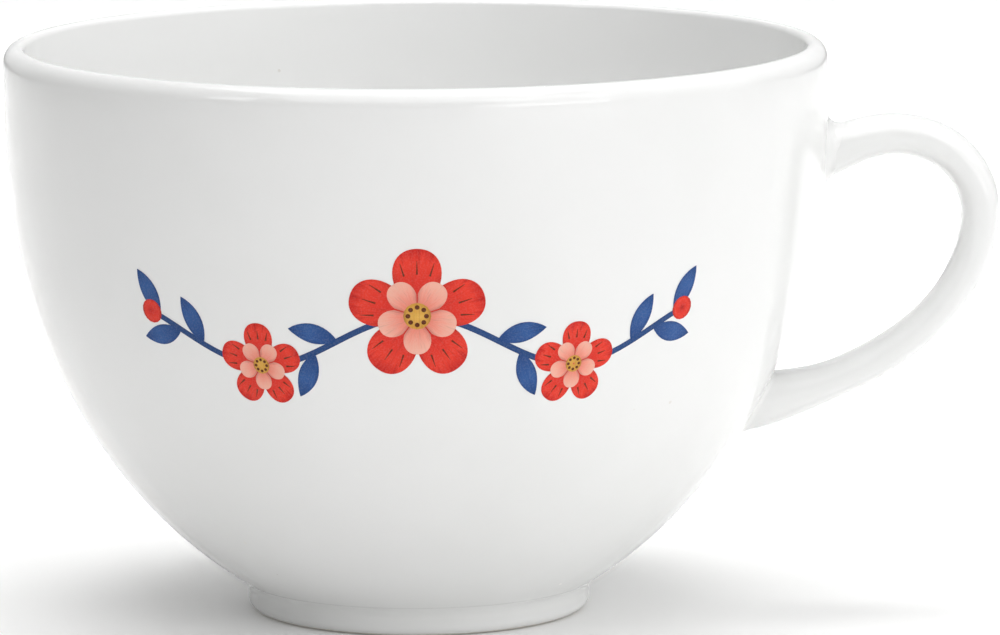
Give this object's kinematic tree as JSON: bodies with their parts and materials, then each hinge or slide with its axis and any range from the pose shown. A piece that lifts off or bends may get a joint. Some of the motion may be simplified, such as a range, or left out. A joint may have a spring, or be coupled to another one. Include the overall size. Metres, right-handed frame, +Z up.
{
  "type": "teacup",
  "caption": "Rounded porcelain teacup on a narrow foot ring, with a thin lip and an ear-shaped strap handle joined to the wall with slip, glazed white with a printed flower spray.",
  "frame": {"origin": "middle of the bounding box, handle included, on the plane that the cup stands on; the cup's own axis is at x = -0.01105", "axes": "+Z up along the cup's axis, +X out through the handle, +Y away from the side that carries the main flower"},
  "size_m": [0.1271, 0.105, 0.073],
  "materials": {
    "bowl_glaze": "clear gloss glaze over white porcelain, very faintly green-grey inside",
    "foot_glaze": "gloss glaze wiped off the resting edge, which is smooth bare white porcelain",
    "handle_glaze": "clear gloss glaze over white porcelain",
    "slip_glaze": "clear gloss glaze, pooled a little thicker in the corners",
    "flower_print": "ceramic transfer print in scarlet, rose, navy and teal, fired into the glaze and as glossy as it"
  },
  "bodies": {
    "root": {"bowl": "bowl_glaze", "foot_ring": "foot_glaze", "handle": "handle_glaze", "upper_slip_joint": "slip_glaze", "lower_slip_joint": "slip_glaze"}
  },
  "joints": []
}
